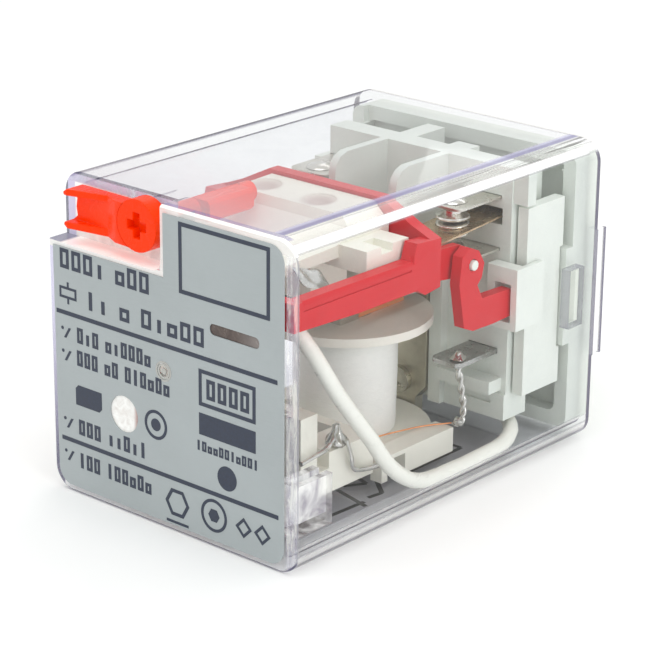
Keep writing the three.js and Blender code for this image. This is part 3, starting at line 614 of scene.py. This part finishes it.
def circle(x, z, radius, sides=32):
    return [
        (x + radius * math.cos(2 * math.pi * i / sides), z + radius * math.sin(2 * math.pi * i / sides))
        for i in range(sides)
    ]


def rectangle(x0, x1, z0, z1):
    return [(x0, z0), (x1, z0), (x1, z1), (x0, z1)]


# front and back of the printed layers, the two thin sheets (the painted shade behind the slot and the
# coil peep disc) and the pin numbers, and the heights of the floor print, all in mm
INK = (0.025, 0.055)
FILM = (0.184, 0.196)
NUMBERS = (52.05, 52.2)
FLOOR_INK = (0.012, 0.148)


def block_text(bm, x0, x1, z0, z1, words, rng):
    """Placeholder print: each word is a run of plain frames and bars, with no letters."""
    cells = sum(words) + (len(words) - 1) * 0.7
    cell = (x1 - x0) / cells
    stroke = min(0.42, cell * 0.3)
    x = x0
    for count in words:
        for _ in range(count):
            left, right = x + cell * 0.12, x + cell * 0.88
            tall = z1 if rng.random() < 0.7 else z1 - (z1 - z0) * 0.3
            if rng.random() < 0.7:
                inner = rectangle(left + stroke, right - stroke, z0 + stroke, tall - stroke)
                ring_plate(bm, rectangle(left, right, z0, tall), inner, *INK)
            else:
                middle = (left + right) / 2
                plate(bm, rectangle(middle - stroke * 0.6, middle + stroke * 0.6, z0, tall), *INK)
            x += cell
        x += cell * 0.7


def frame_print(bm, x0, x1, z0, z1, stroke):
    inner = rectangle(x0 + stroke, x1 - stroke, z0 + stroke, z1 - stroke)
    ring_plate(bm, rectangle(x0, x1, z0, z1), inner, *INK)


def label_print(bm):
    rng = random.Random(4)
    frame_print(bm, 1.75, 14.25, 26.9, 34.5, 0.45)
    for z, x0, x1 in ((20.66, -16.65, 15.25), (6.1, -16.35, 15.4)):
        plate(bm, rectangle(x0, x1, z - 0.24, z + 0.24), *INK)
    block_text(bm, -16.1, -2.4, 25.65, 27.85, (4, 3), rng)
    block_text(bm, -12.3, 5.4, 21.8, 23.85, (2, 1, 5), rng)
    block_text(bm, -13.7, -2.4, 17.65, 19.4, (3, 6), rng)
    block_text(bm, -13.8, 0.3, 15.05, 16.8, (3, 2, 6), rng)
    block_text(bm, -13.8, -3.3, 7.1, 8.85, (3, 5), rng)
    block_text(bm, -13.9, -2.6, 3.2, 4.95, (3, 6), rng)
    frame_print(bm, -16.1, -13.5, 22.3, 23.6, 0.28)
    plate(bm, rectangle(-14.93, -14.65, 21.7, 22.3), *INK)
    plate(bm, rectangle(-14.93, -14.65, 23.6, 24.15), *INK)
    for z in (18.4, 15.8, 8.0, 4.2):
        plate(bm, [(-15.6, z - 0.6), (-15.25, z - 0.6), (-14.5, z + 0.6), (-14.85, z + 0.6)], *INK)
        plate(bm, circle(-15.8, z + 0.45, 0.2, 12), *INK)
    frame_print(bm, 4.4, 12.3, 15.4, 19.4, 0.42)
    block_text(bm, 5.3, 11.6, 16.3, 18.5, (4,), rng)
    plate(bm, rectangle(4.4, 12.3, 12.2, 14.6), *INK)
    block_text(bm, 3.9, 12.7, 10.4, 11.5, (11,), rng)
    plate(bm, circle(8.3, 8.3, 1.35), *INK)
    ring_plate(bm, circle(-1.9, 11.45, 1.65), circle(-1.9, 11.45, 1.3), *INK)
    plate(bm, circle(-1.9, 11.45, 0.7), *INK)
    plate(bm, [(-14, 10.5), (-10.4, 10.5), (-10, 10.9), (-10, 12.8), (-13.6, 12.8), (-14, 12.4)], *INK)
    ring_plate(bm, circle(1.1, 3.4, 1.75, 6), circle(1.1, 3.4, 1.3, 6), *INK)
    plate(bm, rectangle(-0.5, 2.7, 1.0, 1.3), *INK)
    ring_plate(bm, circle(6.4, 3.6, 1.85), circle(6.4, 3.6, 1.5), *INK)
    plate(bm, circle(6.4, 3.6, 0.8, 6), *INK)
    for x in (10.6, 13.2):
        ring_plate(bm, circle(x, 3.5, 1.15, 4), circle(x, 3.5, 0.7, 4), *INK)


new_piece("label_print", label_print, "label_foil", "case", material=ink)


def lathe(bm, profile, centre, axis="Z", sides=32, rough=0.0):
    """A closed turned piece: profile of (radius, height) in mm, both ends on the axis."""
    rings = []
    for radius, height in profile:
        ring = []
        for i in range(sides if radius > 0 else 1):
            angle = 2 * math.pi * i / sides
            u, v = radius * math.cos(angle), radius * math.sin(angle)
            offset = Vector((u, v, height)) if axis == "Z" else Vector((u, height, v))
            if rough:
                offset += noise.noise_vector(offset * 1.3 + Vector(centre)) * rough
            ring.append(bm.verts.new(at(*centre) + offset * MM))
        rings.append(ring)
    for lower, upper in zip(rings, rings[1:]):
        for i in range(sides):
            j = (i + 1) % sides
            below, above = len(lower), len(upper)
            corners = [lower[i % below], lower[j % below], upper[j % above], upper[i % above]]
            bm.faces.new(list(dict.fromkeys(corners)))


def smooth_path(points, steps):
    """Points along a Catmull-Rom curve through the given points."""
    points = [Vector(p) for p in points]
    ends = [points[0] * 2 - points[1], *points, points[-1] * 2 - points[-2]]
    result = []
    for k in range(len(points) - 1):
        a, b, c, d = ends[k:k + 4]
        for i in range(steps):
            t = i / steps
            result.append(0.5 * (2 * b + (c - a) * t + (2 * a - 5 * b + 4 * c - d) * t * t
                                 + (3 * b - a - 3 * c + d) * t ** 3))
    return result + [points[-1]]


def tube(bm, path, radius, sides=12, rough=0.0):
    """A closed round wire along a path of points in mm."""
    rings = []
    side = Vector((1, 0, 0))
    for i, point in enumerate(path):
        along = (path[min(i + 1, len(path) - 1)] - path[max(i - 1, 0)]).normalized()
        side = (side - along * side.dot(along)).normalized()
        other = along.cross(side)
        thick = radius * (1 + rough * noise.noise(point * 1.7))
        ring = []
        for k in range(sides):
            angle = 2 * math.pi * k / sides
            place = point + (side * math.cos(angle) + other * math.sin(angle)) * thick
            ring.append(bm.verts.new(at(*place)))
        rings.append(ring)
    for lower, upper in zip(rings, rings[1:]):
        for k in range(sides):
            j = (k + 1) % sides
            bm.faces.new((lower[k], lower[j], upper[j], upper[k]))
    bm.faces.new(list(reversed(rings[0])))
    bm.faces.new(rings[-1])


def strands(path, offset, turns, phase):
    """A path wound round another path."""
    result = []
    for i, point in enumerate(path):
        along = (path[min(i + 1, len(path) - 1)] - path[max(i - 1, 0)]).normalized()
        side = along.cross(Vector((0, 1, 0.2))).normalized()
        other = along.cross(side)
        angle = 2 * math.pi * turns * i / len(path) + phase
        result.append(point + (side * math.cos(angle) + other * math.sin(angle)) * offset)
    return result


def on_side(points, side):
    return [(x * side, y, z) for x, y, z in points]


# ---- wires, solder and contacts ----
TAIL = [(11.5, 33.8, 13.6), (11.5, 33.8, 12), (11.7, 34.2, 9.5), (11.75, 34.6, 7), (11.6, 34.5, 5.1),
        (10.7, 34.4, 4.6)]


def twisted_tail(side):
    def build(bm):
        path = smooth_path(on_side(TAIL, side), 10)
        for phase in (0, math.pi):
            tube(bm, strands(path, 0.2, 4.5, phase), 0.22, 10, rough=0.35)
        lathe(bm, [(0, -0.1), (0.75, 0.0), (0.9, 0.16), (0.62, 0.42), (0.3, 0.85), (0, 1.0)],
              (11.5 * side, 33.8, 12.72), sides=16, rough=0.18)
        lathe(bm, [(0, -0.4), (0.5, -0.2), (0.62, 0.2), (0.3, 0.5), (0, 0.6)],
              (11.3 * side, 34.5, 5), sides=14, rough=0.3)
    return build


def solder_bead(side):
    def build(bm):
        lathe(bm, [(0, 5.2), (0.58, 5.2), (0.6, 8.0), (1.1, 8.05), (1.3, 8.35), (1.15, 8.8), (0.75, 9.3),
                   (0.5, 9.8), (0.42, 10.3), (0, 10.5)], (10.1 * side, 15, 0), sides=20, rough=0.22)
    return build


def upper_button(side):
    def build(bm):
        lathe(bm, [(0, 0.62), (0.7, 0.58), (1.2, 0.46), (1.5, 0.3), (1.6, 0.19), (0.85, 0.17),
                   (0.85, -0.17), (1.75, -0.19), (1.8, -0.3), (1.25, -0.48), (1.02, -0.8),
                   (1.05, -1.05), (1.35, -1.25), (1.85, -1.38), (1.95, -1.55), (1.85, -1.72),
                   (1.5, -1.86), (0.8, -1.94), (0, -1.95)],
              (POLE_CENTRE * side, CONTACT_Y, 30.35), sides=40)
    return build


def lower_button(side):
    def build(bm):
        lathe(bm, [(0, -0.58), (0.7, -0.55), (1.2, -0.42), (1.5, -0.22), (1.5, -0.19),
                   (0.85, -0.17), (0.85, 0.17), (1.9, 0.19), (2, 0.34), (1.9, 0.7), (1.6, 1.1),
                   (1.1, 1.4), (0.5, 1.52), (0, 1.53)],
              (POLE_CENTRE * side, CONTACT_Y, 24.35), sides=40)
    return build


def coil_lead(bm):
    path = smooth_path([(11.65, 7.6, 8.5), (11.65, 9.6, 8.7), (11.55, 11.6, 8.9), (11.0, 13.4, 9.3)], 8)
    tube(bm, path, 0.27, 12, rough=0.25)


def coil_hook(bm):
    points = [(11.6, 14.9, 9), (11.75, 15.4, 7.2), (11.6, 16, 5.4), (11.5, 18, 4.6), (11.5, 20.6, 4.3)]
    tube(bm, smooth_path(points, 8), 0.27, 12, rough=0.3)


def fine_wire(bm):
    path = smooth_path([(6.2, 26.2, 4.3), (7.5, 28, 4.72), (8.7, 31.5, 4.72), (10.4, 34.3, 4.72)], 8)
    tube(bm, path, 0.09, 8)


def crumpled_tab(bm):
    rows, columns = 9, 7
    layers = []
    for thick in (0.0, 0.12):
        grid = []
        for i in range(rows):
            line = []
            for j in range(columns):
                u, v = i / (rows - 1), j / (columns - 1)
                ripple = 0.25 * math.sin(u * 9) * (1 - v)
                bend = 0.45 * noise.noise(Vector((u * 3.1, v * 2.3, 4))) + ripple
                height = 29.5 - 1.3 * u - 1.5 * v + 0.7 * bend
                line.append(bm.verts.new(at(9.9 + 2.1 * v + thick, 7.9 + 4.2 * u - 0.3 * v, height)))
            grid.append(line)
        layers.append(grid)
    for k, grid in enumerate(layers):
        for i in range(rows - 1):
            for j in range(columns - 1):
                face = [grid[i][j], grid[i + 1][j], grid[i + 1][j + 1], grid[i][j + 1]]
                bm.faces.new(face if k else list(reversed(face)))
    border = [(i, 0) for i in range(rows)] + [(rows - 1, j) for j in range(1, columns)]
    border += [(i, columns - 1) for i in range(rows - 2, -1, -1)]
    border += [(0, j) for j in range(columns - 2, 0, -1)]
    for (i, j), (m, n) in zip(border, border[1:] + border[:1]):
        bm.faces.new((layers[0][i][j], layers[0][m][n], layers[1][m][n], layers[1][i][j]))


def plug_pin(x, z):
    def build(bm):
        lathe(bm, [(0, 47.9), (0.75, 47.9), (0.75, 48.8), (1.12, 48.8), (1.18, 48.95), (1.18, 62.3),
                   (1.1, 62.7), (0.86, 63.05), (0.5, 63.25), (0, 63.3)], (x, 0, z), axis="Y", sides=28)
    return build


for name, side in (("right", 1), ("left", -1)):
    new_piece(f"twisted_tail_{name}", twisted_tail(side), "tinned_metal", "case",
              [f"terminal_tail_{name}"], angle=60)
    new_piece(f"solder_bead_{name}", solder_bead(side), "tinned_metal", "case",
              [f"solder_joint_{name}"], angle=60)
    new_piece(f"upper_button_{name}", upper_button(side), "silver_contact", "case",
              [f"upper_contact_{name}"])
    new_piece(f"lower_button_{name}", lower_button(side), "silver_contact", "case",
              [f"lower_contact_{name}"])
new_piece("coil_lead", coil_lead, "tinned_metal", "case", ["coil_start"], angle=60)
new_piece("coil_hook", coil_hook, "tinned_metal", "case", ["coil_tail"], angle=60)
new_piece("fine_wire", fine_wire, "copper", "case")
new_piece("crumpled_tab", crumpled_tab, "tinned_metal", "armature", ["carrier_tab"], angle=28,
          material=special["coil_terminal_left"])
for i in range(8):
    angle = (i + 0.5) / 8 * 2 * math.pi
    pin_x = PIN_CIRCLE_RADIUS * math.cos(angle)
    pin_z = AXIS_HEIGHT + PIN_CIRCLE_RADIUS * math.sin(angle)
    new_piece(f"turned_pin_{i + 1}", plug_pin(pin_x, pin_z), "plug_pin", "case",
              [f"plug_pin_{i + 1}"])


# ---- print, the coil peep film and the painted shade sheet behind the slot ----
def flat_stroke(bm, start, end, width, z0, z1):
    """A straight printed stroke on a horizontal face, from one (x, y) point to another."""
    first, second = Vector(start), Vector(end)
    across = (second - first).orthogonal().normalized() * width / 2
    outline = [first - across, second - across, second + across, first + across]
    rings = [[bm.verts.new(at(p.x, p.y, z)) for p in outline] for z in (z0, z1)]
    bm.faces.new(rings[0])
    bm.faces.new(list(reversed(rings[1])))
    for i in range(4):
        j = (i + 1) % 4
        bm.faces.new((rings[0][i], rings[1][i], rings[1][j], rings[0][j]))


def diagram_print(bm):
    """A plain wiring sketch: lines, a bracket and a coil box, seen from both sides of the floor label."""
    lines = [
        ((10.2, 12), (10.6, 19.1)), ((6.4, 19.5), (11.5, 18.3)), ((10.2, 20.2), (10.5, 22.2)),
        ((10.5, 22.2), (6.9, 25.2)), ((3.2, 24.3), (7.6, 23)), ((6.2, 20.7), (3.2, 24.3)),
        ((7.6, 23), (6.2, 20.7)), ((10.2, 12), (2, 10)), ((2, 10), (-6, 10)), ((-6, 10), (-6, 24)),
        ((-6, 24), (0, 28)), ((0, 28), (0, 38)), ((-6, 38), (9, 38)), ((9, 38), (9, 28)),
        ((6.9, 25.2), (9, 28)), ((-3, 18), (2, 18)), ((-3, 18), (-3, 22)), ((2, 18), (2, 22)),
        ((-3, 22), (2, 22)), ((-3, 18), (2, 22)),
    ]
    for start, end in lines:
        flat_stroke(bm, start, end, 0.56, *FLOOR_INK)


def rounded(x0, x1, z0, z1, radius, sides=6):
    corners = ((x1 - radius, z0 + radius, -90), (x1 - radius, z1 - radius, 0),
               (x0 + radius, z1 - radius, 90), (x0 + radius, z0 + radius, 180))
    points = []
    for x, z, start in corners:
        for i in range(sides + 1):
            angle = math.radians(start + 90 * i / sides)
            points.append((x + radius * math.cos(angle), z + radius * math.sin(angle)))
    return points


def slot_shade_finish():
    # Painted shade: a dark brown sheet behind the slot stands in for the shade inside the relay, paler
    # towards its right end.
    s = Shader("slot_painted_shade")
    x = s.parts(s.place)[0]
    blotches = s.noise(0.9, 4, 0.6, twist=1)
    dark = s.mixed(s.ranged(blotches, 0.3, 0.7, 0, 1), srgb(66, 52, 48), srgb(96, 82, 76))
    paler_end = s.mixed(s.ranged(x, 9.5, 12.8, 0, 0.4), dark, srgb(178, 172, 170))
    s.link(paler_end, s.surface.inputs["Base Color"])
    s.link(s.ranged(blotches, 0.3, 0.7, 0.15, 0.3), s.surface.inputs["Roughness"])
    s.bump(s.noise(4, 3), 0.003)
    return s.material


def peep_finish():
    s = Shader("coil_peep")
    x, _, z = s.parts(s.place)
    blotches = s.noise(0.8, 4, 0.6, twist=1)
    patches = s.ranged(blotches, 0.35, 0.7, 0, 1)
    bright = s.mixed(patches, srgb(252, 252, 250), srgb(226, 222, 218))
    rim = s.ranged(x, -5.35, -4.75, 0, 0.85)
    s.link(s.mixed(rim, bright, srgb(150, 84, 76)), s.surface.inputs["Base Color"])
    s.link(s.ranged(z, 9, 13, 0.2, 0.35), s.surface.inputs["Roughness"])
    s.bump(blotches, 0.01)
    return s.material


def sight_ring(bm):
    centre = (-0.65, 17.75)
    ring_plate(bm, circle(*centre, 1.12), circle(*centre, 0.92), 0.026, 0.054)
    ring_plate(bm, circle(*centre, 0.86), circle(*centre, 0.62), 0.06, 0.19)
    plate(bm, circle(*centre, 0.34, 20), 0.09, 0.19)


new_piece("diagram_print", diagram_print, "diagram_sheet", "case", material=black_ink)
# A painted shade sheet behind the slot in the label.
new_piece("slot_painted_shade", lambda bm: plate(bm, rounded(5.7, 13.1, 23.2, 25, 0.6), *FILM),
          "label_foil", "case", material=slot_shade_finish())
new_piece("coil_peep", lambda bm: plate(bm, circle(-6.65, 11.35, 2.3, 40), *FILM),
          "label_foil", "case", material=peep_finish())
new_piece("sight_ring", sight_ring, "silver_contact", "case",
          material=special["coil_terminal_left"])

SEGMENTS = {
    1: "bc", 2: "abged", 3: "abgcd", 4: "fgbc", 5: "afgcd", 6: "afgedc", 7: "abc", 8: "abcdefg",
}
BARS = {"a": (0, 2, 1, 2), "b": (1, 1, 1, 2), "c": (1, 0, 1, 1), "d": (0, 0, 1, 0), "e": (0, 0, 0, 1),
        "f": (0, 1, 0, 2), "g": (0, 1, 1, 1)}


def pin_numbers(bm):
    """Raised pin numbers 1 to 8 in plain bars on the seat, outside the pin circle."""
    for number, segments in SEGMENTS.items():
        angle = math.radians(-90 + 45 * number - 22.5)
        x = NUMBER_CIRCLE_RADIUS * math.cos(angle) + 0.5
        z = AXIS_HEIGHT + NUMBER_CIRCLE_RADIUS * math.sin(angle) - 0.8
        for name in segments:
            u0, v0, u1, v1 = BARS[name]
            box = (x - 0.8 * u1 - 0.1, x - 0.8 * u0 + 0.1, z + 0.8 * v0 - 0.1, z + 0.8 * v1 + 0.1)
            plate(bm, rectangle(*box), *NUMBERS)


new_piece("pin_numbers", pin_numbers, "grey_plastic", "case")


def make_floor():
    mesh = bpy.data.meshes.new("stage_floor")
    bm = bmesh.new()
    bmesh.ops.create_grid(bm, x_segments=8, y_segments=8, size=3)
    bm.to_mesh(mesh)
    bm.free()
    floor = bpy.data.objects.new("stage_floor", mesh)
    floor.location.z = cad_low.z - 0.00001
    bpy.context.scene.collection.objects.link(floor)
    mesh.materials.append(stage_finish())


make_floor()
make_camera()
make_stage()
